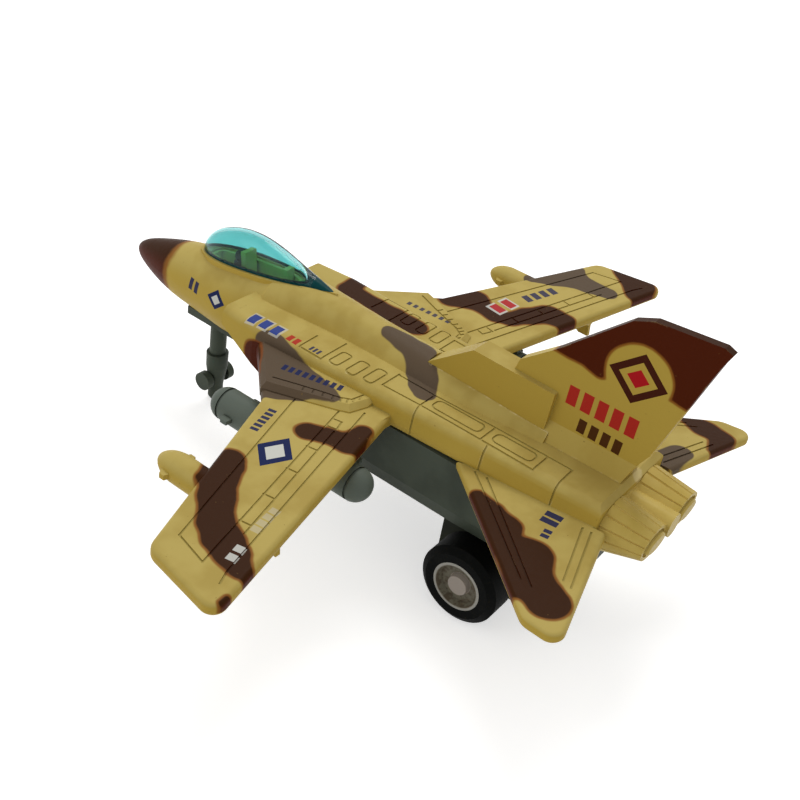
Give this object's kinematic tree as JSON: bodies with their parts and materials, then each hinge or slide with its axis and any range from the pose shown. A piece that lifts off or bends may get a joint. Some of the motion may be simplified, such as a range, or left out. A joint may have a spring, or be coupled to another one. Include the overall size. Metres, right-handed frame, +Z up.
{
  "type": "toy airplane",
  "caption": "die-cast pull-back toy jet in desert camouflage, with a tinted canopy, single tail fin, ribbed exhausts and rubber rear wheels",
  "frame": {"origin": "on the ground under the middle of the bounding box", "axes": "+X to the port wing tip, -Y to the nose, +Z up"},
  "size_m": [0.1356, 0.1264, 0.0644],
  "materials": {
    "sand_paint": "satin",
    "sand_plastic": "satin",
    "teal_clear": "clear tint",
    "olive_plastic": "matte",
    "dark_plastic": "matte",
    "grey_plastic": "satin",
    "white_plastic": "plain",
    "rim_plastic": "satin",
    "tyre_rubber": "matte",
    "steel": "plain"
  },
  "bodies": {
    "root": {"upper_body": "sand_paint", "nozzle_block": "sand_plastic", "tail_fin": "sand_plastic", "canopy": "teal_clear", "cockpit_tub": "olive_plastic", "pilot": "dark_plastic", "chassis": "grey_plastic", "nose_gear": "grey_plastic", "port_pod": "grey_plastic", "starboard_pod": "grey_plastic", "motor_case_port": "dark_plastic", "motor_case_starboard": "dark_plastic", "mainspring": "steel", "idler_shaft": "steel", "chassis_screws": "steel", "motor_screws": "steel"},
    "axle": {"rear_axle": "steel", "axle_pinion": "white_plastic", "port_rim": "rim_plastic", "starboard_rim": "rim_plastic", "port_tyre": "tyre_rubber", "starboard_tyre": "tyre_rubber"},
    "idler": {"idler_gear": "white_plastic"},
    "drum": {"spring_gear": "white_plastic"}
  },
  "joints": [
    {"name": "axle_spin", "type": "hinge", "parent": "root", "child": "axle", "pos_m": [0, 0.03555, 0.0078], "axis": [1, 0, 0], "continuous": true},
    {"name": "idler_spin", "type": "hinge", "parent": "root", "child": "idler", "pos_m": [0, 0.03234, 0.01239], "axis": [1, 0, 0], "continuous": true},
    {"name": "spring_gear_spin", "type": "hinge", "parent": "root", "child": "drum", "pos_m": [0, 0.03722, 0.01821], "axis": [1, 0, 0], "continuous": true}
  ],
  "couplings": [
    {"joint": "idler_spin", "follows": "axle_spin", "ratio": -0.55556},
    {"joint": "spring_gear_spin", "follows": "axle_spin", "ratio": 0.19841}
  ]
}
